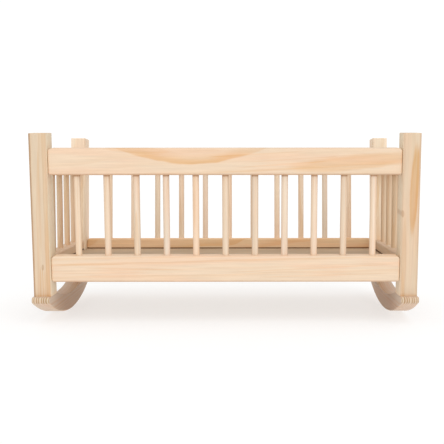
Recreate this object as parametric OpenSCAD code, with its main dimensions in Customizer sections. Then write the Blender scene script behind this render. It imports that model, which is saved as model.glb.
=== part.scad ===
// Slatted rocking cradle of doll size, in solid pine.
// Origin: on the floor, under the middle of the cradle.
// +X runs along the cradle, +Y to the back, +Z up. Millimetres.

/* [Overall] */
// Length over the posts
length = 501; // [440:1:560]
// Distance over the front and back posts, where they stand on the rockers
foot_width = 271; // [250:1:284]
// Outward lean of the front and back sides, in degrees
side_lean = 4.4; // [2:0.2:6]

/* [Posts] */
// Post size along the cradle
post_x = 23; // [19:0.5:26]
// Post size across the cradle
post_y = 35; // [32:0.5:42]
// Length of a post along its outer face, from the rocker seat to the top
post_length = 212.3; // [200:0.1:260]
// Rounding of the long edges of a post
post_round = 3; // [1:0.5:6]
// Outward fall of the post tops, in degrees
top_fall = 2.8; // [0:0.2:4.4]
// Chamfer around the post tops
top_chamfer = 0.8; // [0.3:0.1:2]

/* [Rails] */
// Height of every rail
rail_h = 34.6; // [28:0.2:38]
// Thickness of every rail
rail_t = 18; // [14:0.5:20]
// Step from the outer face of a post back to the outer face of a side rail
rail_setback = 3.5; // [1:0.5:6]
// Rounding of the rail edges
rail_round = 3; // [1:0.5:4]
// Rounding of the four corners of a side rail, seen from outside
rail_corner = 6.5; // [2:0.5:8]
// Slope distance from the rocker seat up to the bottom rail
bottom_rail_v = 18.2; // [12:0.1:26]
// Slope distance from the rocker seat up to the top rail
top_rail_v = 158.3; // [140:0.1:164]

/* [Spindles] */
// Spindle diameter
spindle_d = 8.5; // [7:0.5:11]
// Number of spindles in the front side, and in the back side
side_spindles = 11; // [7:1:11]
// Pitch of the side spindles
side_pitch = 38.4; // [30:0.2:40]
// Number of spindles in each end
end_spindles = 4; // [2:1:4]
// Pitch of the end spindles
end_pitch = 47; // [40:1:50]
// Depth of the blind holes that hold the spindles
spindle_socket = 10; // [6:1:12]

/* [Rockers] */
// Radius of the rolling arc
rocker_r = 375; // [345:5:450]
// Height of the flat seats under the posts
seat_z = 37; // [34:0.5:42]
// Thickness of a rocker at its middle
rocker_mid = 23.5; // [18:0.5:26]
// Length of a rocker, across the cradle
rocker_length = 292; // [290:2:340]
// Radius of the rounded rocker ends
nose_r = 5; // [3:0.5:5]
// Rounding of the rim edges of a rocker
rim_round = 1.5; // [1:0.5:3]

/* [Base board] */
// Height of the upper face of the base board
base_top = 75; // [72:0.5:80]
// Thickness of the base board
base_t = 6; // [4:0.5:8]
// Gap between the base board and the side rails
base_gap = 1.5; // [1:0.5:3]
// Gap between the base board and the faces of the posts
base_end_gap = 0.8; // [0.5:0.1:2]
// Section of the square cleats that carry the base board
cleat_s = 12; // [8:1:14]

/* [Joinery] */
// Diameter of the glued dowel pins
pin_d = 6; // [5:0.5:8]
// Depth of a pin in a post
pin_in_post = 12; // [8:1:14]
// Depth of a pin in a rail
pin_in_rail = 18; // [12:1:24]
// Height of the lower pin above the lower edge of its rail
pin_edge = 9; // [8:0.5:11]
// Glue clearance around pins and spindles
glue_gap = 0.05; // [0.02:0.01:0.1]
// Distance between the two pins of a rocker seat
foot_pin_pitch = 16; // [12:1:18]
// Shank diameter of the cleat screws
cleat_screw_d = 3; // [2.5:0.5:3.5]
// Length of the cleat screws
cleat_screw_l = 24; // [20:1:26]

/* [Hidden] */
$fn = 48;

// Names of the repeated nodes
function numbered(stem, count) = [for (i = [1:count]) str(stem, i)];

// Wood and metal colours
POST_COLOUR = [0.92, 0.82, 0.68];
RAIL_COLOUR = [0.93, 0.82, 0.70];
SPINDLE_COLOUR = [0.88, 0.74, 0.60];
ROCKER_COLOUR = [0.85, 0.72, 0.58];
BASE_COLOUR = [0.70, 0.61, 0.50];
CLEAT_COLOUR = [0.84, 0.71, 0.55];
PIN_COLOUR = [0.80, 0.64, 0.44];
STEEL_COLOUR = [0.66, 0.67, 0.70];

// Room for a cut that runs past a face
CUT = 1;
BIG = 2 * length;

// Places of the members
half_length = length / 2;
half_foot = foot_width / 2;
post_inner_x = half_length - post_x;
post_mid_x = half_length - post_x / 2;
rail_mid_depth = rail_setback + rail_t / 2;
side_rail_length = 2 * post_inner_x;
end_rail_mid_x = post_mid_x;
end_rail_inner_x = end_rail_mid_x - rail_t / 2;
lower_end_z = seat_z + bottom_rail_v * cos(side_lean);
upper_end_z = seat_z + top_rail_v * cos(side_lean);
base_bottom = base_top - base_t;

// Half width across the outer faces of the posts at height z
function outer_y(z) = half_foot + (z - seat_z) * tan(side_lean);
// Distance from the middle plane to the plane that lies depth inside the outer faces, at height z
function inner_y(z, depth) = outer_y(z) - depth / cos(side_lean);

rail_inner_depth = rail_setback + rail_t;
pin_hole_d = pin_d + 2 * glue_gap;
spindle_hole_d = spindle_d + 2 * glue_gap;
base_half_y = inner_y(base_bottom, rail_inner_depth) - base_gap;
base_half_x = post_inner_x - base_end_gap;
end_cleat_length = 2 * (inner_y(base_bottom - cleat_s, post_y) - 3);
side_cleat_length = side_rail_length - 2 * (cleat_s + 2);

// Angle, seen from the centre of the rolling arc, at which a rocker's round end begins
nose_angle = asin((rocker_length / 2 - nose_r) / (rocker_r - nose_r));
nose_z = rocker_r - (rocker_r - nose_r) * cos(nose_angle);
nose_y = rocker_length / 2 - nose_r;

// Half chord and radius of the hollow in the top of a rocker
hollow_half = inner_y(seat_z, post_y);
hollow_depth = seat_z - rocker_mid;
hollow_r = (hollow_half * hollow_half + hollow_depth * hollow_depth) / (2 * hollow_depth);

// Rocker joint: two pins under the foot of every post
foot_mid_y = half_foot - post_y / 2;
pin_in_foot = 15;
pin_in_rocker = 10;

// Cleat screws: CONE_RATIO is the height of a countersunk head over its overhang
CONE_RATIO = 0.55;
side_screw_pitch = side_cleat_length / 4;
end_screw_pitch = end_cleat_length / 2;
cleat_mid_z = base_bottom - cleat_s / 2;
cleat_head_d = 2 * cleat_screw_d;

// ---- Shared shapes ----

// Rectangle from the origin, with its corners rounded to radius r
module rounded_rect(a, b, r) {
    translate([r, 0]) square([a - 2 * r, b]);
    translate([0, r]) square([a, b - 2 * r]);
    for (x = [r, a - r], y = [r, b - r]) translate([x, y]) circle(r = r);
}

// Bar from the origin, its edges eased to radius r and the corners of its broad faces to corner_r
module eased_bar(size, r, corner_r) {
    intersection() {
        linear_extrude(size.z) rounded_rect(size.x, size.y, r);
        translate([0, size.y, 0]) rotate([90, 0, 0])
            linear_extrude(size.y) rounded_rect(size.x, size.z, corner_r);
        rotate([90, 0, 90]) linear_extrude(size.x) rounded_rect(size.y, size.z, r);
    }
}

// Frame of the front side: x along the cradle, y inward from the outer faces of the posts,
// z up the slope from the seats
module front_side() {
    translate([0, -half_foot, seat_z]) rotate([side_lean, 0, 0]) children();
}

// Front side for side = -1, back side for side = 1
module on_side(side) {
    mirror([0, side > 0 ? 1 : 0, 0]) front_side() children();
}

// Left end for end = -1, right end for end = 1
module on_end(end) {
    mirror([end < 0 ? 1 : 0, 0, 0]) children();
}

// Cylinder along +Z with a slightly eased rim at both ends
module dowel(d, l) {
    ease = d / 12;
    rotate_extrude()
        polygon([[0, 0], [d / 2 - ease, 0], [d / 2, ease], [d / 2, l - ease], [d / 2 - ease, l], [0, l]]);
}

// ---- Pin and screw places ----

// Pins between a side rail and its posts, in the frame of the side; from is the start of the children,
// measured from the end of the rail into the post
module side_pin_places(rail_v, from) {
    for (end = [-1, 1], v = [pin_edge, rail_h - pin_edge])
        translate([end * post_inner_x, rail_mid_depth, rail_v + v])
            rotate([0, end * 90, 0])
                translate([0, 0, from]) children();
}

// Pins between an end rail and its posts, for the end at +X
module end_pin_places(rail_z) {
    for (side = [-1, 1], v = [pin_edge, rail_h - pin_edge])
        translate([end_rail_mid_x, side * inner_y(rail_z + v, post_y), rail_z + v])
            rotate([-side * 90, 0, 0]) children();
}

// Pins between a rocker and its posts, for the end at +X
module foot_pin_places() {
    for (side = [-1, 1], step = [-0.5, 0.5])
        translate([post_mid_x, side * (foot_mid_y + step * foot_pin_pitch), seat_z]) children();
}

// Screws of the side cleats, for the front side: they run outward into the rail
module side_cleat_screw_places() {
    for (i = [-1.5:1:1.5])
        translate([i * side_screw_pitch, -inner_y(cleat_mid_z, rail_inner_depth) + cleat_s, cleat_mid_z])
            rotate([90, 0, 0]) children();
}

// Screws of an end cleat, for the end at +X
module end_cleat_screw_places() {
    for (side = [-0.5, 0.5])
        translate([end_rail_inner_x - cleat_s, side * end_screw_pitch, cleat_mid_z])
            rotate([0, 90, 0]) children();
}

// Countersunk cleat screw with its head at the origin, pointing along +Z
module cleat_screw(clearance = 0) {
    head_h = (cleat_head_d - cleat_screw_d) * CONE_RATIO;
    cylinder(d1 = cleat_head_d + clearance, d2 = cleat_screw_d + clearance, h = head_h);
    cylinder(d = cleat_screw_d + clearance, h = cleat_screw_l + clearance);
}

// ---- Frame ----

module post(end, side) {
    color(POST_COLOUR)
        on_end(end) on_side(side) difference() {
            front_post_blank();
            top_cuts();
            side_pin_holes();
            front_side_inverse() foot_and_end_cuts();
        }
}

// Post blank, longer than needed at the foot and at the top
module front_post_blank() {
    spare = post_y * tan(side_lean) + CUT;
    translate([post_inner_x, 0, -spare])
        linear_extrude(post_length + 2 * spare) rounded_rect(post_x, post_y, post_round);
}

// What is sawn off above the top of a post, and the chamfer around its edges
module top_cuts() {
    fall = side_lean - top_fall;
    chamfer = top_chamfer * sqrt(2);
    translate([post_inner_x, 0, post_length]) rotate([-fall, 0, 0]) {
        translate([-BIG / 2, -BIG / 2, 0]) cube([BIG, BIG, BIG]);
        for (x = [0, post_x])
            translate([x, 0, 0]) rotate([0, 45, 0]) cube([chamfer, BIG, chamfer], center = true);
        for (y = [0, post_y / cos(fall)])
            translate([0, y, 0]) rotate([45, 0, 0]) cube([BIG, chamfer, chamfer], center = true);
    }
}

// Back to the frame of the whole cradle from the frame of the front side
module front_side_inverse() {
    rotate([-side_lean, 0, 0]) translate([0, half_foot, -seat_z]) children();
}

// Holes for the pins of both side rails
module side_pin_holes() {
    for (v = [bottom_rail_v, top_rail_v])
        side_pin_places(v, -CUT) cylinder(d = pin_hole_d, h = pin_in_post + CUT);
}

// Flat foot, and the holes for the end rail pins and the rocker pins
module foot_and_end_cuts() {
    translate([0, -BIG / 2, seat_z - BIG]) cube([BIG, BIG, BIG]);
    for (z = [lower_end_z, upper_end_z])
        end_pin_places(z) translate([0, 0, -CUT]) cylinder(d = pin_hole_d, h = pin_in_post + CUT);
    foot_pin_places() translate([0, 0, -CUT]) cylinder(d = pin_hole_d, h = pin_in_foot + CUT);
}

// Rail of the front or back side; opens is 1 where the spindle sockets open upward, -1 downward
module side_rail(side, rail_v, opens) {
    socket_z = opens > 0 ? rail_v + rail_h - spindle_socket : rail_v - CUT;
    color(RAIL_COLOUR)
        on_side(side) difference() {
            translate([-post_inner_x, rail_setback, rail_v])
                eased_bar([side_rail_length, rail_t, rail_h], rail_round, rail_corner);
            for (i = [1:side_spindles])
                translate([spindle_x(i), rail_mid_depth, socket_z])
                    cylinder(d = spindle_hole_d, h = spindle_socket + CUT);
            side_pin_places(rail_v, -pin_in_rail) cylinder(d = pin_hole_d, h = pin_in_rail + CUT);
            if (opens > 0)
                front_side_inverse() side_cleat_screw_places() cleat_screw(2 * glue_gap);
        }
}

function spindle_x(i) = (i - (side_spindles + 1) / 2) * side_pitch;
function spindle_y(i) = (i - (end_spindles + 1) / 2) * end_pitch;

// Rail of the left or right end, its ends cut to the slope of the posts
module end_rail(end, rail_z, opens) {
    socket_z = opens > 0 ? rail_z + rail_h - spindle_socket : rail_z - CUT;
    over = rail_h;
    half = inner_y(rail_z + rail_h, post_y) + over;
    color(RAIL_COLOUR)
        on_end(end) difference() {
            translate([end_rail_inner_x, -half, rail_z])
                eased_bar([rail_t, 2 * half, rail_h], rail_round, rail_round);
            for (side = [-1, 1])
                on_side(side) translate([0, -BIG, -BIG / 2]) cube([BIG, BIG + post_y, BIG]);
            for (i = [1:end_spindles])
                translate([end_rail_mid_x, spindle_y(i), socket_z])
                    cylinder(d = spindle_hole_d, h = spindle_socket + CUT);
            end_pin_places(rail_z)
                translate([0, 0, -pin_in_rail]) cylinder(d = pin_hole_d, h = pin_in_rail + CUT);
            if (opens > 0) end_cleat_screw_places() cleat_screw(2 * glue_gap);
        }
}

// ---- Spindles ----

module side_spindle(side, i) {
    color(SPINDLE_COLOUR)
        on_side(side)
            translate([spindle_x(i), rail_mid_depth, bottom_rail_v + rail_h - spindle_socket])
                dowel(spindle_d, top_rail_v - bottom_rail_v - rail_h + 2 * spindle_socket);
}

module end_spindle(end, i) {
    color(SPINDLE_COLOUR)
        on_end(end)
            translate([end_rail_mid_x, spindle_y(i), lower_end_z + rail_h - spindle_socket])
                dowel(spindle_d, upper_end_z - lower_end_z - rail_h + 2 * spindle_socket);
}

// ---- Rockers ----

// Side view of a rocker: Y across, Z up
module rocker_profile() {
    reach = rocker_r + nose_r;
    edge_y = reach * sin(nose_angle);
    edge_z = rocker_r - reach * cos(nose_angle);
    difference() {
        intersection() {
            union() {
                intersection() {
                    translate([0, rocker_r]) circle(r = rocker_r, $fn = 360);
                    polygon([
                        [0, rocker_r], [edge_y, edge_z], [edge_y, -CUT],
                        [-edge_y, -CUT], [-edge_y, edge_z]
                    ]);
                }
                for (side = [-1, 1]) translate([side * nose_y, nose_z]) circle(r = nose_r);
            }
            translate([-rocker_length, -CUT]) square([2 * rocker_length, seat_z + CUT]);
        }
        translate([0, rocker_mid + hollow_r]) circle(r = hollow_r, $fn = 360);
    }
}

// Disc of the rolling arc with rounded rims, centred over the rocker
module rolling_disc() {
    translate([post_inner_x, 0, rocker_r]) rotate([0, 90, 0])
        rotate_extrude($fn = 360) {
            square([rocker_r - rim_round, post_x]);
            translate([0, rim_round]) square([rocker_r, post_x - 2 * rim_round]);
            for (z = [rim_round, post_x - rim_round])
                translate([rocker_r - rim_round, z]) circle(r = rim_round);
        }
}

module rocker(end) {
    color(ROCKER_COLOUR)
        on_end(end) difference() {
            intersection() {
                translate([post_inner_x, 0, 0]) rotate([90, 0, 90]) linear_extrude(post_x) rocker_profile();
                rolling_disc();
            }
            foot_pin_places()
                translate([0, 0, -pin_in_rocker]) cylinder(d = pin_hole_d, h = pin_in_rocker + CUT);
        }
}

// ---- Base board and its cleats ----

module base_board() {
    color(BASE_COLOUR)
        translate([-base_half_x, -base_half_y, base_bottom])
            linear_extrude(base_t) rounded_rect(2 * base_half_x, 2 * base_half_y, rail_round);
}

// Cleat along a side rail: its back follows the sloping rail and its top is level
module side_cleat(side) {
    low = base_bottom - cleat_s;
    top_y = inner_y(base_bottom, rail_inner_depth);
    low_y = inner_y(low, rail_inner_depth);
    color(CLEAT_COLOUR)
        mirror([0, side > 0 ? 1 : 0, 0]) difference() {
            translate([-side_cleat_length / 2, 0, 0]) rotate([90, 0, 90])
                linear_extrude(side_cleat_length) polygon([
                    [-top_y, base_bottom], [-low_y, low],
                    [-low_y + cleat_s, low], [-low_y + cleat_s, base_bottom]
                ]);
            side_cleat_screw_places() cleat_screw(2 * glue_gap);
        }
}

module end_cleat(end) {
    color(CLEAT_COLOUR)
        on_end(end) difference() {
            translate([end_rail_inner_x - cleat_s, -end_cleat_length / 2, base_bottom - cleat_s])
                cube([cleat_s, end_cleat_length, cleat_s]);
            end_cleat_screw_places() cleat_screw(2 * glue_gap);
        }
}

// ---- Pins and screws ----

module side_rail_pins() {
    color(PIN_COLOUR)
        for (side = [-1, 1], v = [bottom_rail_v, top_rail_v])
            on_side(side) side_pin_places(v, -pin_in_rail) dowel(pin_d, pin_in_rail + pin_in_post);
}

module end_rail_pins() {
    color(PIN_COLOUR)
        for (end = [-1, 1], z = [lower_end_z, upper_end_z])
            on_end(end) end_pin_places(z)
                translate([0, 0, -pin_in_rail]) dowel(pin_d, pin_in_rail + pin_in_post);
}

module rocker_pins() {
    color(PIN_COLOUR)
        for (end = [-1, 1])
            on_end(end) foot_pin_places()
                translate([0, 0, -pin_in_rocker]) dowel(pin_d, pin_in_rocker + pin_in_foot);
}

module cleat_screws() {
    color(STEEL_COLOUR) {
        for (side = [0, 1]) mirror([0, side, 0]) side_cleat_screw_places() cleat_screw();
        for (end = [-1, 1]) on_end(end) end_cleat_screw_places() cleat_screw();
    }
}

// ---- Nodes ----

post(-1, -1);  // post_front_left
post(1, -1);  // post_front_right
post(-1, 1);  // post_back_left
post(1, 1);  // post_back_right
side_rail(-1, top_rail_v, -1);  // front_top_rail
side_rail(-1, bottom_rail_v, 1);  // front_bottom_rail
side_rail(1, top_rail_v, -1);  // back_top_rail
side_rail(1, bottom_rail_v, 1);  // back_bottom_rail
end_rail(-1, upper_end_z, -1);  // left_top_rail
end_rail(-1, lower_end_z, 1);  // left_bottom_rail
end_rail(1, upper_end_z, -1);  // right_top_rail
end_rail(1, lower_end_z, 1);  // right_bottom_rail
rocker(-1);  // left_rocker
rocker(1);  // right_rocker
for (i = [1:side_spindles]) side_spindle(-1, i);
for (i = [1:side_spindles]) side_spindle(1, i);
for (i = [1:end_spindles]) end_spindle(-1, i);
for (i = [1:end_spindles]) end_spindle(1, i);
base_board();
side_cleat(-1);  // front_cleat
side_cleat(1);  // back_cleat
end_cleat(-1);  // left_cleat
end_cleat(1);  // right_cleat
side_rail_pins();
end_rail_pins();
rocker_pins();
cleat_screws();
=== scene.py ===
"""Looks of a doll's rocking cradle in natural pine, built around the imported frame.

Metres, +X along the cradle, +Y to the back, +Z up. Wood patterns are worked out in millimetres
in each board's own directions, so that grain, growth rings and end grain follow the real timber.
"""
import math
import random

import bpy
from mathutils import Matrix, Vector


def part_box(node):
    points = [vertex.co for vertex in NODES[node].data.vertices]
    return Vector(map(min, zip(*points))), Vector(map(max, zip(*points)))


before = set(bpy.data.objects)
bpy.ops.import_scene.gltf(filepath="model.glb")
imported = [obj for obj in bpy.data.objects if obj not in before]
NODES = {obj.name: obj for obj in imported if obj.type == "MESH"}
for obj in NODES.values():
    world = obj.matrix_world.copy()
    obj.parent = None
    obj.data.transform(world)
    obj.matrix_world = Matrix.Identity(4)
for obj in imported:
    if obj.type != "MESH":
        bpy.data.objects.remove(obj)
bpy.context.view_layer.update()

# ---- Driving values ----

MM_PER_M = 1000.0
SIDE_LEAN = math.radians(4.4)      # outward lean of the front and back sides
SEED = 11                          # every random draw comes from this one seed

CAMERA_PLACE = Vector((0.0257, -1.2358, 0.2100))
CAMERA_PITCH = 0.0686              # radians down from level
CAMERA_YAW = 0.0024                # radians to the right of +Y
CAMERA_ROLL = -0.0006              # radians about the view direction
CAMERA_SENSOR = 36                 # width in mm
CAMERA_LENS = 68.9                 # focal length in mm
CAMERA_SHIFT = -0.057              # sideways, as a share of the picture's width

BACKGROUND = 1.05                  # strength of the white that the camera sees
LIGHTING = 0.82                    # strength of the white that falls on the cradle
KEY_DIRECTION = (0.32, -1.0, 0.95)  # the way from the cradle to the large softbox
KEY_STRENGTH = 0.84
KEY_SPREAD = math.radians(60)      # angle that the softbox fills
FLOOR_HALF = 60.0                  # half the floor's side
FLOOR_TONE = 0.38                  # how much light the floor gives back
FLOOR_GLOW = 0.64                  # how much it gives of its own

X_AXIS = Vector((1, 0, 0))
Y_AXIS = Vector((0, 1, 0))
Z_AXIS = Vector((0, 0, 1))
BASE_LOW, BASE_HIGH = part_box("base_board")
draw = random.Random(SEED)


def colour(r, g, b):
    return (r, g, b, 1.0)


# Tones of the wood, before rings, streaks and tints
RAIL_TONE = colour(0.815, 0.635, 0.465)
BACK_RAIL_TONE = colour(0.82, 0.595, 0.37)
END_RAIL_TONE = colour(0.71, 0.55, 0.395)
POST_TONE = colour(0.725, 0.575, 0.415)
BACK_POST_TONE = colour(0.88, 0.74, 0.565)
SPINDLE_TONE = colour(0.82, 0.67, 0.52)
BACK_SPINDLE_TONE = colour(0.86, 0.73, 0.577)
END_SPINDLE_TONE = colour(0.72, 0.56, 0.39)
ROCKER_TONE = colour(0.66, 0.53, 0.42)
CLEAT_TONE = colour(0.70, 0.52, 0.36)
PIN_TONE = colour(0.60, 0.42, 0.26)
VENEER_TONES = colour(0.455, 0.335, 0.22), colour(0.53, 0.39, 0.255)
PLY_TONES = colour(0.62, 0.47, 0.32), colour(0.36, 0.24, 0.15)
STEEL_TONES = colour(0.46, 0.47, 0.49), colour(0.70, 0.70, 0.70)

# Tints, which a tone is multiplied by
LATE_TINT = colour(0.91, 0.70, 0.46)          # what dense latewood does to the pale early wood
PINK_TINT = colour(1.02, 0.955, 0.93)         # slow drift towards pink
END_TINT = colour(0.92, 0.84, 0.74)           # end grain soaks up more light
END_LATE_TINT = colour(0.66, 0.46, 0.31)      # latewood where the rings are cut across
PORE_TINT = colour(0.80, 0.66, 0.50)          # short resin flecks
KNOT_AND_SHADE_TINT = colour(0.58, 0.40, 0.26)          # knots, and painted shade on edges and under the top rails
EDGE_HIGHLIGHT_TINT = colour(1.06, 1.05, 1.04)         # painted highlight on sanded edges at a board's ends
SEAM_SHADOW_TINT = colour(0.16, 0.08, 0.035)         # painted shadow in the joint around the base board
POST_SIDE_LIGHT_TINT = colour(1.13, 1.24, 1.29)     # painted light on faces of the front posts that look along the cradle
SPINDLE_SIDE_SHADE_TINT = colour(0.90, 0.87, 0.83)  # painted shade on the left and right flanks of the spindles
ROCKER_SIDE_SHADE_TINT = colour(0.70, 0.61, 0.53)   # painted shade on the inner and outer faces of the rockers, most in their middles
ROCKER_END_TINT = colour(1.01, 1.04, 0.955)   # curved ends of the rockers

# Sizes of the features in wood, in mm: along the grain, across the width, through the thickness
LEAN_CELL = (190, 46, 46)          # slow wander of the rings
WAVE_CELL = (60, 26, 26)           # quicker waves in the rings
DRIFT_CELL = (130, 17, 17)         # patches of a pinker tone
STREAK_CELL = (55, 2.2, 2.2)
FIBRE_CELL = (16, 0.45, 0.45)
FLECK_CELL = (5.5, 0.5, 0.5)
NOISE_REACH = 900                  # boards lie up to this far out in the noise, each at its own place
VENEER_CLOUD_CELL = (150, 34, 60)
VENEER_STREAK_CELL = (48, 2.6, 9)
VENEER_FIBRE_CELL = (9, 0.5, 4)

BASE_PLIES = 5                     # in the thickness of the base board
SHADOW_SEAM_DEPTH = (0.0010, 0.0002)      # below the base board's top: where the painted seam shadow starts, and is full
SHADOW_SEAM_HEIGHT = (0.0010, 0.0018)     # above the base board's top: where the painted seam shadow is full, and ends
BUMP_DEPTH = 0.0003                # depth of the fibres' relief
STEEL_BUMP_DEPTH = 0.0001


# ---- Camera ----

def make_camera():
    """Camera square to the front of the cradle, at the height of its upper rails."""
    forward = Vector((
        math.sin(CAMERA_YAW) * math.cos(CAMERA_PITCH),
        math.cos(CAMERA_YAW) * math.cos(CAMERA_PITCH),
        -math.sin(CAMERA_PITCH),
    ))
    level = Vector((math.cos(CAMERA_YAW), -math.sin(CAMERA_YAW), 0))
    upright = level.cross(forward)
    right = level * math.cos(CAMERA_ROLL) + upright * math.sin(CAMERA_ROLL)
    up = upright * math.cos(CAMERA_ROLL) - level * math.sin(CAMERA_ROLL)
    data = bpy.data.cameras.new("camera")
    data.sensor_width = CAMERA_SENSOR
    data.lens = CAMERA_LENS
    data.shift_x = CAMERA_SHIFT
    camera = bpy.data.objects.new("camera", data)
    turn = Matrix((right, up, -forward)).transposed().to_4x4()
    camera.matrix_world = Matrix.Translation(CAMERA_PLACE) @ turn
    bpy.context.scene.collection.objects.link(camera)
    bpy.context.scene.camera = camera


# ---- Node-building helpers ----

class Graph:
    """Adds nodes to a tree. node() returns the new node, and the other calls its output sockets."""

    def __init__(self, tree):
        self.tree = tree

    def node(self, kind, **settings):
        made = self.tree.nodes.new(kind)
        for name, value in settings.items():
            setattr(made, name, value)
        return made

    def put(self, socket, value):
        """Links or sets a socket. None leaves it as it is."""
        if isinstance(value, bpy.types.NodeSocket):
            self.tree.links.new(value, socket)
        elif value is not None:
            socket.default_value = value

    def place(self):
        """The shaded point in the frame at rest, in metres."""
        return self.node("ShaderNodeTexCoord").outputs["Object"]

    def facing(self, direction):
        """How squarely the surface faces direction, from -1 to 1."""
        normal = self.node("ShaderNodeTexCoord").outputs["Normal"]
        return self.vector("DOT_PRODUCT", normal, tuple(direction))

    def math(self, operation, a, b=None, c=None, clamp=False):
        made = self.node("ShaderNodeMath", operation=operation, use_clamp=clamp)
        for socket, value in zip(made.inputs, (a, b, c)):
            self.put(socket, value)
        return made.outputs[0]

    def vector(self, operation, a, b=None, scale=None):
        made = self.node("ShaderNodeVectorMath", operation=operation)
        self.put(made.inputs[0], a)
        self.put(made.inputs[1], b)
        if scale is not None:
            self.put(made.inputs["Scale"], scale)
        return made.outputs["Value" if operation == "DOT_PRODUCT" else "Vector"]

    def combine(self, x, y, z):
        made = self.node("ShaderNodeCombineXYZ")
        for socket, value in zip(made.inputs, (x, y, z)):
            self.put(socket, value)
        return made.outputs[0]

    def separate(self, vector):
        made = self.node("ShaderNodeSeparateXYZ")
        self.put(made.inputs[0], vector)
        return made.outputs[0], made.outputs[1], made.outputs[2]

    def noise(self, vector, detail, roughness=0.5):
        """Noise from 0 to 1 in a space where its cells have size 1."""
        made = self.node("ShaderNodeTexNoise", noise_dimensions="3D")
        self.put(made.inputs["Vector"], vector)
        made.inputs["Scale"].default_value = 1.0
        made.inputs["Detail"].default_value = detail
        made.inputs["Roughness"].default_value = roughness
        return made.outputs[0]

    def swing(self, vector, detail):
        """Noise from -0.5 to 0.5."""
        return self.math("SUBTRACT", self.noise(vector, detail), 0.5)

    def ramp_between(self, value, low, high):
        """Smooth step of value from 0 at low to 1 at high. low may be the greater."""
        made = self.node("ShaderNodeMapRange", interpolation_type="SMOOTHSTEP")
        self.put(made.inputs["Value"], value)
        self.put(made.inputs["From Min"], low)
        self.put(made.inputs["From Max"], high)
        return made.outputs[0]

    def inverse(self, value):
        return self.math("SUBTRACT", 1.0, value)

    def mix(self, factor, a, b, blend="MIX"):
        made = self.node("ShaderNodeMix", data_type="RGBA", blend_type=blend)
        self.put(made.inputs[0], factor)
        self.put(made.inputs[6], a)
        self.put(made.inputs[7], b)
        return made.outputs[2]

    def tinted(self, factor, tone, tint):
        """tone, multiplied by tint as far as factor says."""
        return self.mix(factor, tone, self.mix(1.0, tone, tint, "MULTIPLY"))

    def bump(self, height, strength, depth):
        made = self.node("ShaderNodeBump")
        made.inputs["Strength"].default_value = strength
        made.inputs["Distance"].default_value = depth
        self.put(made.inputs["Height"], height)
        return made.outputs["Normal"]


def new_material(name):
    """An empty material, with its graph and the sockets of its shader."""
    material = bpy.data.materials.new(name)
    material.use_nodes = True
    return material, Graph(material.node_tree), material.node_tree.nodes["Principled BSDF"].inputs


# ---- Light and floor ----

def make_world():
    """White surroundings, a little brighter to the camera than to the cradle."""
    world = bpy.data.worlds.new("studio")
    world.use_nodes = True
    g = Graph(world.node_tree)
    seen = g.node("ShaderNodeLightPath").outputs["Is Camera Ray"]
    shader = world.node_tree.nodes["Background"]
    shader.inputs["Color"].default_value = (1, 1, 1, 1)
    g.put(shader.inputs["Strength"], g.math("MULTIPLY_ADD", seen, BACKGROUND - LIGHTING, LIGHTING))
    bpy.context.scene.world = world


def make_key_light():
    """A large far softbox in front of the cradle, above it and to its right."""
    data = bpy.data.lights.new("key", "SUN")
    data.energy = KEY_STRENGTH
    data.angle = KEY_SPREAD
    lamp = bpy.data.objects.new("key", data)
    lamp.rotation_mode = "QUATERNION"
    lamp.rotation_quaternion = Vector(KEY_DIRECTION).to_track_quat("Z", "Y")
    bpy.context.scene.collection.objects.link(lamp)


def make_floor():
    """White floor that glows like a light table, so that shadows on it stay faint."""
    corners = [
        (x * FLOOR_HALF, y * FLOOR_HALF, 0)
        for x, y in ((-1, -1), (1, -1), (1, 1), (-1, 1))
    ]
    mesh = bpy.data.meshes.new("floor")
    mesh.from_pydata(corners, [], [(0, 1, 2, 3)])
    floor = bpy.data.objects.new("floor", mesh)
    bpy.context.scene.collection.objects.link(floor)
    material, _, shader = new_material("floor")
    shader["Base Color"].default_value = colour(FLOOR_TONE, FLOOR_TONE, FLOOR_TONE)
    shader["Roughness"].default_value = 0.9
    shader["Specular IOR Level"].default_value = 0.1
    shader["Emission Color"].default_value = (1, 1, 1, 1)
    shader["Emission Strength"].default_value = FLOOR_GLOW
    mesh.materials.append(material)


# ---- Pine as a solid ----

PINE_INPUTS = {
    "Board": "Vector",     # the point in the board's own mm: along the grain, across, through
    "Pith": "Vector",      # where the pith line crosses the middle of the board
    "Slope": "Vector",     # how far the pith line leans across the board for each mm along it
    "Spacing": "Float",    # between growth rings, in mm
    "Wander": "Float",     # how far the rings wander, in mm
    "Late": "Float",       # strength of the latewood
    "End": "Float",        # how much of the face is end grain
    "End Late": "Float",   # how much stronger the latewood is on end grain
    "End Tint": "Color",
    "Edge Highlight": "Float",      # how much of the face gets the painted highlight of a sanded edge
    "Figure": "Float",     # latewood of the listed figures
    "Knot And Shade": "Float",       # listed knots, and painted shade
    "Seed": "Vector",      # the board's own place in the noise, in mm
    "Tone": "Color",
}
PINE_OUTPUTS = {"Colour": "Color", "Height": "Float", "Roughness": "Float"}


def ring_radius(g, inputs, cells):
    """Distance from a pith line that leans along the board, where the rings wander."""
    u, v, w = g.separate(inputs["Board"])
    slow = g.swing(cells(LEAN_CELL, 3.1), 2.0)
    wave = g.swing(cells(WAVE_CELL, 9.7), 1.0)
    _, pith_v, pith_w = g.separate(inputs["Pith"])
    _, slope_v, slope_w = g.separate(inputs["Slope"])
    from_v = g.math("SUBTRACT", v, g.math("MULTIPLY_ADD", u, slope_v, pith_v))
    from_w = g.math("SUBTRACT", w, g.math("MULTIPLY_ADD", u, slope_w, pith_w))
    squared = g.math("MULTIPLY_ADD", from_v, from_v, g.math("MULTIPLY", from_w, from_w))
    radius = g.math("SQRT", squared)
    radius = g.math("MULTIPLY_ADD", slow, g.math("MULTIPLY", inputs["Wander"], 2.0), radius)
    return g.math("MULTIPLY_ADD", wave, g.math("MULTIPLY", inputs["Wander"], 0.35), radius)


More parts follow.
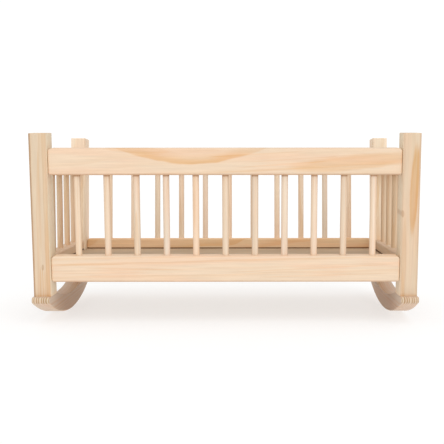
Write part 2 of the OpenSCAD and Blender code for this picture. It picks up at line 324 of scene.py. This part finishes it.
def ring_latewood(g, inputs, radius):
    """Each ring is pale, slowly darkens, then steps crisply back to pale. Years differ in strength."""
    turns = g.math("DIVIDE", radius, inputs["Spacing"])
    uneven = g.noise(g.combine(g.math("MULTIPLY", turns, 0.7), 0.0, 0.0), 1.0)
    turns = g.math("MULTIPLY_ADD", uneven, 1.2, turns)
    phase = g.math("FRACT", turns)
    rise = g.ramp_between(phase, 0.35, 0.93)
    fall = g.ramp_between(phase, 0.94, 1.0)
    ring = g.math("MULTIPLY", rise, g.inverse(fall))
    year_noise = g.node("ShaderNodeTexWhiteNoise", noise_dimensions="1D")
    g.put(year_noise.inputs["W"], g.math("FLOOR", turns))
    vigour = g.math("MULTIPLY_ADD", year_noise.outputs["Value"], 0.75, 0.35)
    vigour = g.math("MULTIPLY_ADD", inputs["End"], 0.25, vigour)
    strength = g.math("MULTIPLY_ADD", inputs["End"], inputs["End Late"], inputs["Late"])
    return g.math("MULTIPLY", g.math("MULTIPLY", ring, vigour), strength)


def make_pine_group():
    """Pine: growth rings round a pith line, slow drift of tone, streaks, fibres, flecks, end grain,
    knots, and painted highlight and shade.
    """
    tree = bpy.data.node_groups.new("pine", "ShaderNodeTree")
    for sockets, direction in ((PINE_INPUTS, "INPUT"), (PINE_OUTPUTS, "OUTPUT")):
        for name, kind in sockets.items():
            tree.interface.new_socket(name=name, in_out=direction, socket_type="NodeSocket" + kind)
    g = Graph(tree)
    inputs = g.node("NodeGroupInput").outputs

    def cells(size, offset):
        """The point in cells of the given size. offset keeps the fields from matching."""
        moved = g.vector("ADD", inputs["Board"], inputs["Seed"])
        scaled = g.vector("MULTIPLY", moved, tuple(1 / length for length in size))
        return g.vector("ADD", scaled, (offset, offset * 0.7, -offset))

    ring = ring_latewood(g, inputs, ring_radius(g, inputs, cells))
    late = g.math("ADD", ring, inputs["Figure"], clamp=True)
    drift = g.noise(cells(DRIFT_CELL, 21.0), 2.0)
    streak = g.noise(cells(STREAK_CELL, 33.0), 3.0, 0.6)
    fibre = g.noise(cells(FIBRE_CELL, 47.0), 2.0, 0.6)
    fleck = g.ramp_between(g.noise(cells(FLECK_CELL, 61.0), 1.0), 0.735, 0.80)

    tone = g.tinted(g.ramp_between(drift, 0.40, 0.62), inputs["Tone"], PINK_TINT)
    tone = g.tinted(late, tone, g.mix(inputs["End"], LATE_TINT, END_LATE_TINT))
    shade = g.math("MULTIPLY_ADD", streak, 0.26, 0.87)
    shade = g.math("MULTIPLY", shade, g.math("MULTIPLY_ADD", fibre, 0.10, 0.95))
    tone = g.vector("SCALE", tone, scale=shade)
    tone = g.tinted(g.math("MULTIPLY", fleck, 0.30), tone, PORE_TINT)
    tone = g.tinted(inputs["End"], tone, inputs["End Tint"])
    # painted highlight on the sanded edges at a board's ends
    tone = g.tinted(inputs["Edge Highlight"], tone, EDGE_HIGHLIGHT_TINT)
    # knots, and painted shade
    tone = g.tinted(inputs["Knot And Shade"], tone, KNOT_AND_SHADE_TINT)

    height = g.math("MULTIPLY_ADD", fibre, 0.35, g.math("MULTIPLY", late, 0.5))
    height = g.math("MULTIPLY_ADD", fleck, -0.35, height)
    rough = g.math("MULTIPLY_ADD", fibre, 0.12, g.math("MULTIPLY_ADD", late, -0.10, 0.50))
    outputs = g.node("NodeGroupOutput").inputs
    g.put(outputs["Colour"], tone)
    g.put(outputs["Height"], height)
    g.put(outputs["Roughness"], rough)
    return tree


# ---- Figures placed one by one, in a board's own millimetres ----

def waver(g, axes, long, wide, offset):
    """Noise that makes a figure's outline waver, in cells of long by wide mm."""
    u, v, _ = axes
    cells = g.combine(g.math("DIVIDE", u, long), g.math("DIVIDE", v, wide), offset)
    return g.swing(cells, 2.0)


def arch(g, axes, middle, half_length, foot, depth, side=1.0, power=1.7, fade=0.15):
    """A cathedral figure: an arch of dark latewood that hangs from one edge of a board.

    It is darkest along its crisp outer line and fades towards the edge that it hangs from.
    foot is that edge's place across the width. side is 1 where the arch reaches down from it,
    and -1 where it reaches up. fade is how far from the edge it starts, as a share of depth.
    """
    u, v, _ = axes
    across = g.math("DIVIDE", g.math("MULTIPLY", g.math("SUBTRACT", foot, v), side), depth)
    along = g.math("DIVIDE", g.math("ABSOLUTE", g.math("SUBTRACT", u, middle)), half_length)
    level = g.math("ADD", across, g.math("POWER", along, power))
    level = g.math("MULTIPLY_ADD", waver(g, axes, 30.0, 9.0, middle), 0.22, level)
    inside = g.ramp_between(level, fade, 0.92)
    outside = g.ramp_between(level, 0.94, 1.06)
    tips = g.math("MULTIPLY_ADD", g.ramp_between(along, 0.45, 0.95), -0.55, 1.0)
    return g.math("MULTIPLY", g.math("MULTIPLY", inside, tips), g.inverse(outside))


def lens(g, axes, centre, half, tilt=0.0, soft=0.4, hollow=0.4):
    """A long closed figure, such as a flame of latewood or a streak.

    centre and half are along the grain and across the width. tilt is its slope across the grain,
    soft is how wide its edge fades, and hollow is how much paler its core is than its outline.
    """
    u, v, _ = axes
    along = g.math("SUBTRACT", u, centre[0])
    across = g.math("SUBTRACT", v, g.math("MULTIPLY_ADD", along, tilt, centre[1]))
    across = g.math("MULTIPLY_ADD", waver(g, axes, 24.0, 8.0, centre[0]), half[1] * 0.5, across)
    along = g.math("DIVIDE", along, half[0])
    across = g.math("DIVIDE", across, half[1])
    level = g.math("MULTIPLY_ADD", along, along, g.math("MULTIPLY", across, across))
    inside = g.inverse(g.ramp_between(level, 1.0 - soft, 1.0 + soft * 0.4))
    rim = g.math("MULTIPLY_ADD", g.ramp_between(level, -0.1, 0.8), hollow, 1.0 - hollow)
    return g.math("MULTIPLY", inside, rim)


def band(g, axes, start, full):
    """Grows from 0 at start to 1 at full, both measured along the grain."""
    return g.ramp_between(axes[0], start, full)


def overlay(g, axes, parts):
    """Sum of the listed figures, each (strength, figure, its settings)."""
    total = None
    for strength, figure, settings in parts:
        part = g.math("MULTIPLY", figure(g, axes, **settings), strength)
        total = part if total is None else g.math("ADD", total, part)
    return total


# ---- Materials ----

def wood_space(g, origin, grain, width, thickness):
    """The shaded point in a board's own millimetres: along the grain, across and through."""
    from_origin = g.vector("SUBTRACT", g.place(), tuple(origin))
    return [
        g.math("MULTIPLY", g.vector("DOT_PRODUCT", from_origin, tuple(axis)), MM_PER_M)
        for axis in (grain, width, thickness)
    ]


def painted_seam_shadow(g, inward):
    """A painted shadow: a thin dark line on a rail's inner face where the base board lies against it.
    """
    above_base = g.math("SUBTRACT", g.separate(g.place())[2], BASE_HIGH.z)
    above = g.ramp_between(above_base, -SHADOW_SEAM_DEPTH[0], -SHADOW_SEAM_DEPTH[1])
    below = g.inverse(g.ramp_between(above_base, *SHADOW_SEAM_HEIGHT))
    inner_face = g.ramp_between(g.facing(inward), 0.6, 0.8)
    return g.math("MULTIPLY", g.math("MULTIPLY", above, below), inner_face)


def painted_side_shading(g, axes, fade):
    """Where painted light or shade goes: 1 on faces that look along the cradle, towards either end.

    Where fade is given, it falls to 0.3 between these two distances from the middle of the board.
    """
    factor = g.ramp_between(g.math("ABSOLUTE", g.facing(X_AXIS)), 0.75, 0.95)
    if fade is None:
        return factor
    away = g.ramp_between(g.math("ABSOLUTE", axes[0]), *fade)
    return g.math("MULTIPLY", factor, g.math("MULTIPLY_ADD", away, -0.7, 1.0))


def pine_material(name, origin, directions, tone, pith, slope=(0, 0), spacing=4.0, wander=3.0,
                  late=0.4, end_late=0.35, end_tint=END_TINT, end_from=0.78, figures=(), knots_and_shade=(),
                  inward=None, side_shading_tint=None, side_shading_fade=None, bump=0.25):
    """Pine of one board. directions are its grain, width and thickness, and pith and slope are
    across the width and through the thickness.

    end_from is how squarely a face must cross the grain before it starts to look like end grain.
    inward is the way that the face with the painted seam shadow looks.
    """
    material, g, shader = new_material(name)
    axes = wood_space(g, origin, *directions)
    crossing = g.math("ABSOLUTE", g.facing(directions[0]))
    end = g.ramp_between(crossing, end_from, 0.97)
    # painted highlight on faces that cross the grain a little, such as sanded edges at the ends
    edge_highlight = g.math("MULTIPLY", g.ramp_between(crossing, 0.08, 0.35), g.inverse(end))
    pine = g.node("ShaderNodeGroup", node_tree=PINE)
    settings = {
        "Board": g.combine(*axes),
        "Pith": (0, *pith),
        "Slope": (0, *slope),
        "Spacing": spacing,
        "Wander": wander,
        "Late": late,
        "End": end,
        "End Late": end_late,
        "End Tint": end_tint,
        "Edge Highlight": edge_highlight,
        "Figure": overlay(g, axes, figures),
        "Knot And Shade": overlay(g, axes, knots_and_shade),
        "Seed": [draw.uniform(-NOISE_REACH, NOISE_REACH) for _ in range(3)],
        "Tone": tone,
    }
    for socket, value in settings.items():
        g.put(pine.inputs[socket], value)
    surface = pine.outputs["Colour"]
    # painted light or shade on the faces that look along the cradle
    if side_shading_tint is not None:
        surface = g.tinted(painted_side_shading(g, axes, side_shading_fade), surface, side_shading_tint)
    if inward is not None:
        # painted shadow along the base board's top
        surface = g.tinted(painted_seam_shadow(g, inward), surface, SEAM_SHADOW_TINT)
    g.put(shader["Base Color"], surface)
    g.put(shader["Roughness"], pine.outputs["Roughness"])
    shader["Specular IOR Level"].default_value = 0.35
    g.put(shader["Normal"], g.bump(pine.outputs["Height"], bump, BUMP_DEPTH))
    return material


def plywood_material():
    """Thin plywood: a plain face veneer with its grain along the cradle, and plies on the edges."""
    material, g, shader = new_material("base_plywood")
    axes = wood_space(g, middle("base_board"), X_AXIS, Y_AXIS, Z_AXIS)
    board = g.combine(*axes)

    def field(size, detail):
        return g.noise(g.vector("MULTIPLY", board, tuple(1 / length for length in size)), detail)

    cloud = field(VENEER_CLOUD_CELL, 2.0)
    streak = field(VENEER_STREAK_CELL, 3.0)
    fibre = field(VENEER_FIBRE_CELL, 2.0)
    shade = g.math("MULTIPLY_ADD", streak, 0.34, 0.83)
    shade = g.math("MULTIPLY", shade, g.math("MULTIPLY_ADD", fibre, 0.14, 0.93))
    veneer = g.mix(g.ramp_between(cloud, 0.36, 0.64), *VENEER_TONES)
    veneer = g.vector("SCALE", veneer, scale=shade)
    # A pale ply and a dark ply make one layer
    thickness = (BASE_HIGH.z - BASE_LOW.z) * MM_PER_M
    depth = g.math("ADD", axes[2], thickness / 2)
    layer = g.math("FRACT", g.math("MULTIPLY", depth, BASE_PLIES / thickness / 2))
    dark_ply = g.ramp_between(g.math("PINGPONG", layer, 0.5), 0.20, 0.30)
    edge_wood = g.vector("SCALE", g.mix(dark_ply, *PLY_TONES), scale=shade)
    flat = g.ramp_between(g.math("ABSOLUTE", g.facing(Z_AXIS)), 0.5, 0.8)
    g.put(shader["Base Color"], g.mix(flat, edge_wood, veneer))
    g.put(shader["Roughness"], g.math("MULTIPLY_ADD", fibre, 0.15, 0.58))
    shader["Specular IOR Level"].default_value = 0.3
    g.put(shader["Normal"], g.bump(g.math("MULTIPLY_ADD", streak, 0.6, fibre), 0.3, BUMP_DEPTH))
    return material


def steel_material():
    """Zinc-plated steel with a faint mottle and turning marks."""
    material, g, shader = new_material("zinc_steel")
    point = g.vector("SCALE", g.place(), scale=MM_PER_M)
    mottle = g.noise(g.vector("MULTIPLY", point, (0.6, 0.6, 0.6)), 3.0)
    marks = g.noise(g.vector("MULTIPLY", point, (0.3, 0.3, 9.0)), 2.0)
    g.put(shader["Base Color"], g.mix(mottle, *STEEL_TONES))
    g.put(shader["Roughness"], g.math("MULTIPLY_ADD", mottle, 0.25, 0.25))
    shader["Metallic"].default_value = 1.0
    g.put(shader["Normal"], g.bump(marks, 0.2, STEEL_BUMP_DEPTH))
    return material


# ---- Pieces ----

def middle(node):
    low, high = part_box(node)
    return (low + high) / 2


def dress(node, material):
    mesh = NODES[node].data
    mesh.materials.clear()
    mesh.materials.append(material)


def side_of(name):
    """-1 for a front piece, 1 for a back piece."""
    return 1 if "back" in name else -1


def slope_up(side):
    """The way up along a leaning side."""
    return Vector((0, side * math.sin(SIDE_LEAN), math.cos(SIDE_LEAN)))


def slope_out(side):
    """The way straight out of a leaning side."""
    return Vector((0, side * math.cos(SIDE_LEAN), -math.sin(SIDE_LEAN)))


def varied(base, spread):
    """A piece's own tone: base, a little lighter or darker and warmer or cooler."""
    light = 1 + draw.uniform(-spread, spread)
    warm = draw.uniform(-spread, spread)
    r, g, b, _ = base
    return colour(r * light, g * light * (1 - warm * 0.4), b * light * (1 - warm))


def dress_side_rails():
    """Rails of the front and back, with the grain along the cradle and the width up the slope."""
    # painted shade: a darker strip along the lower edge of the front rails
    shaded_low_edge = (0.46, lens, dict(centre=(0, -17.6), half=(900, 2.6), soft=0.9, hollow=0.0))
    looks = {
        "front_top_rail": dict(
            knots_and_shade=[shaded_low_edge],
            pith=(26, 70), slope=(0.02, 0.02), spacing=5.5, wander=3.0, late=0.22,
            figures=[
                (0.80, arch, dict(
                    middle=-44, half_length=96, foot=17.3, depth=20.5, power=1.9, fade=0.24)),
                (0.30, lens, dict(centre=(-112, 15.0), half=(44, 4.0), tilt=-0.05)),
                (0.62, lens, dict(centre=(163, -1.0), half=(84, 10.5), tilt=0.09, soft=0.7)),
                (0.35, lens, dict(centre=(72, -3.5), half=(60, 1.0), tilt=0.07)),
                (0.30, lens, dict(centre=(84, 3.0), half=(58, 0.9), tilt=0.06)),
                (0.28, lens, dict(centre=(38, 9.5), half=(64, 1.0), tilt=0.06)),
                (0.25, lens, dict(centre=(44, -11.0), half=(60, 0.9), tilt=0.05)),
            ]),
        "front_bottom_rail": dict(
            knots_and_shade=[shaded_low_edge], inward=Y_AXIS,
            pith=(-30, 60), slope=(0.03, 0.0), spacing=5.0, wander=2.4, late=0.38,
            figures=[
                (0.40, lens, dict(centre=(-176, 6.0), half=(46, 0.9), tilt=0.01)),
                (0.34, lens, dict(centre=(-120, 0.5), half=(70, 0.9), tilt=-0.02)),
                (0.30, lens, dict(centre=(-160, -5.0), half=(60, 0.8), tilt=0.01)),
                (0.34, lens, dict(centre=(110, 1.0), half=(110, 1.0), tilt=0.05)),
                (0.30, lens, dict(centre=(130, -8.0), half=(90, 1.0), tilt=0.03)),
            ]),
        "back_top_rail": dict(
            pith=(8, -70), slope=(-0.02, 0.04), spacing=5.0, wander=4.0, late=0.40,
            figures=[(0.55, arch, dict(middle=60, half_length=110, foot=-17.0, depth=22, side=-1.0))]),
        "back_bottom_rail": dict(
            inward=-Y_AXIS,
            pith=(20, 60), slope=(0.03, 0.02), spacing=4.5, wander=3.0, late=0.55),
    }
    for node, look in looks.items():
        side = side_of(node)
        directions = (X_AXIS, slope_up(side), slope_out(side))
        tone = BACK_RAIL_TONE if node == "back_bottom_rail" else RAIL_TONE
        dress(node, pine_material(node, middle(node), directions, varied(tone, 0.01), **look))


def dress_end_rails():
    """Rails of the two ends, with the grain across the cradle."""
    # faces that get the painted shadow along the base board's top
    inward = {"left_bottom_rail": X_AXIS, "right_bottom_rail": -X_AXIS}
    for node in ("left_top_rail", "left_bottom_rail", "right_top_rail", "right_bottom_rail"):
        pith = (draw.uniform(-30, 30), draw.uniform(50, 90))
        slope = (draw.uniform(-0.03, 0.03), draw.uniform(-0.04, 0.04))
        dress(node, pine_material(
            node, middle(node), (Y_AXIS, Z_AXIS, X_AXIS), varied(END_RAIL_TONE, 0.02), pith, slope,
            spacing=4.5, wander=3.0, late=0.45, inward=inward.get(node)))


def dress_posts():
    """Posts, with the grain up the slope and the width along the cradle."""
    foot = (0.32, band, dict(start=-101, full=-105.5))
    # painted shade: a darker, greyer strip along the outer edge of each front post
    shaded_outer_edge = dict(half=(400, 2.6), soft=0.9, hollow=0.0)
    # the front posts get painted light on the faces that look along the cradle
    looks = {
        "post_front_left": dict(
            side_shading_tint=POST_SIDE_LIGHT_TINT,
            pith=(16, 60), slope=(0.01, 0.01), spacing=4.5, wander=2.0, late=0.30,
            figures=[
                foot,
                (0.50, lens, dict(centre=(0, 8.0), half=(300, 2.8), soft=0.8)),
                (0.55, lens, dict(centre=(-90, -1.8), half=(24, 1.0), tilt=0.02)),
                (0.55, lens, dict(centre=(-88, 1.4), half=(22, 1.0), tilt=-0.02)),
                (0.50, lens, dict(centre=(-92, 4.2), half=(22, 1.0))),
                (0.30, lens, dict(centre=(20, 0.5), half=(70, 1.2))),
            ],
            knots_and_shade=[
                (0.60, lens, dict(centre=(-67, 1.8), half=(4.2, 1.7), soft=0.9)),
                (0.80, lens, dict(centre=(0, -11.0), **shaded_outer_edge)),
            ]),
        "post_front_right": dict(
            side_shading_tint=POST_SIDE_LIGHT_TINT,
            pith=(-14, 60), slope=(0.01, 0.02), spacing=5.0, wander=2.0, late=0.22,
            figures=[
                foot,
                (0.90, lens, dict(centre=(34, 3.6), half=(60, 5.6), tilt=0.03, soft=0.5, hollow=0.35)),
                (0.45, lens, dict(centre=(50, 7.4), half=(44, 1.5), tilt=0.02)),
                (0.45, lens, dict(centre=(-58, -7.4), half=(62, 3.2), soft=0.9)),
            ],
            knots_and_shade=[
                (0.60, lens, dict(centre=(3, -10.2), half=(5.0, 1.8), soft=0.9)),
                (0.35, lens, dict(centre=(0, 11.5), **shaded_outer_edge)),
            ]),
        "post_back_left": dict(
            pith=(10, 50), slope=(0.02, 0.03), spacing=4.5, wander=3.0, late=0.22,
            figures=[(0.40, lens, dict(centre=(-30, 5.0), half=(80, 3.0), tilt=0.02))]),
        "post_back_right": dict(
            pith=(-10, -50), slope=(0.02, 0.03), spacing=4.5, wander=3.0, late=0.35,
            figures=[(0.45, lens, dict(centre=(0, -4.0), half=(90, 3.0), tilt=-0.02))]),
    }
    for node, look in looks.items():
        side = side_of(node)
        directions = (slope_up(side), X_AXIS, slope_out(side))
        tone = BACK_POST_TONE if side > 0 else POST_TONE
        dress(node, pine_material(node, middle(node), directions, varied(tone, 0.01), **look))


def dress_rockers():
    """The rings of a rocker close around a pith beside its inner face, level with its ends."""
    for node, inner in (("left_rocker", 1), ("right_rocker", -1)):
        # painted shade on the inner and outer faces, darkest in the middle under the cradle
        dress(node, pine_material(
            node, middle(node), (Y_AXIS, Z_AXIS, X_AXIS), ROCKER_TONE, pith=(14, inner * 26),
            spacing=3.1, wander=0.5, late=0.80, end_late=0.5, end_tint=ROCKER_END_TINT,
            end_from=0.20, side_shading_tint=ROCKER_SIDE_SHADE_TINT, side_shading_fade=(50, 146), bump=0.3))


def dress_spindles():
    """Spindles, each with a painted shadow, a dark ring where it meets the top rail."""
    tones = {"front": SPINDLE_TONE, "back": BACK_SPINDLE_TONE}
    for node in sorted(name for name in NODES if "_spindle_" in name):
        panel = node.split("_")[0]
        if panel in tones:
            directions = (slope_up(side_of(node)), X_AXIS, slope_out(side_of(node)))
        else:
            directions = (Z_AXIS, X_AXIS, Y_AXIS)
        top = (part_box(panel + "_top_rail")[0].z - middle(node).z) * MM_PER_M
        pith = (draw.uniform(-25, 25), draw.uniform(-40, 40))
        slope = (draw.uniform(-0.04, 0.04), draw.uniform(-0.04, 0.04))
        tone = varied(tones.get(panel, END_SPINDLE_TONE), 0.06)
        dress(node, pine_material(
            node, middle(node), directions, tone, pith, slope,
            # painted shade on the spindles' left and right flanks
            spacing=3.2, wander=1.2, late=0.36, side_shading_tint=SPINDLE_SIDE_SHADE_TINT,
            # painted shadow of the top rail, a dark ring at the spindle's top
            knots_and_shade=[(0.85, band, dict(start=top - 2.6, full=top + 0.1))]))


def dress_hidden_wood():
    """The cleats under the base board, and the dowel pins in the joints."""
    cleats = {
        "front_cleat": (X_AXIS, Z_AXIS, Y_AXIS),
        "back_cleat": (X_AXIS, Z_AXIS, Y_AXIS),
        "left_cleat": (Y_AXIS, Z_AXIS, X_AXIS),
        "right_cleat": (Y_AXIS, Z_AXIS, X_AXIS),
    }
    for node, directions in cleats.items():
        dress(node, pine_material(
            node, middle(node), directions, varied(CLEAT_TONE, 0.03), pith=(20, 30)))
    pins = {
        "side_rail_pins": (X_AXIS, Y_AXIS, Z_AXIS),
        "end_rail_pins": (Y_AXIS, X_AXIS, Z_AXIS),
        "rocker_pins": (Z_AXIS, X_AXIS, Y_AXIS),
    }
    for node, directions in pins.items():
        dress(node, pine_material(node, middle(node), directions, PIN_TONE, pith=(40, 40), late=0.15))


PINE = make_pine_group()
make_camera()
make_world()
make_key_light()
make_floor()
dress_side_rails()
dress_end_rails()
dress_posts()
dress_rockers()
dress_spindles()
dress_hidden_wood()
dress("base_board", plywood_material())
dress("cleat_screws", steel_material())
bpy.context.scene.view_settings.view_transform = "Standard"
bpy.context.scene.view_settings.look = "None"
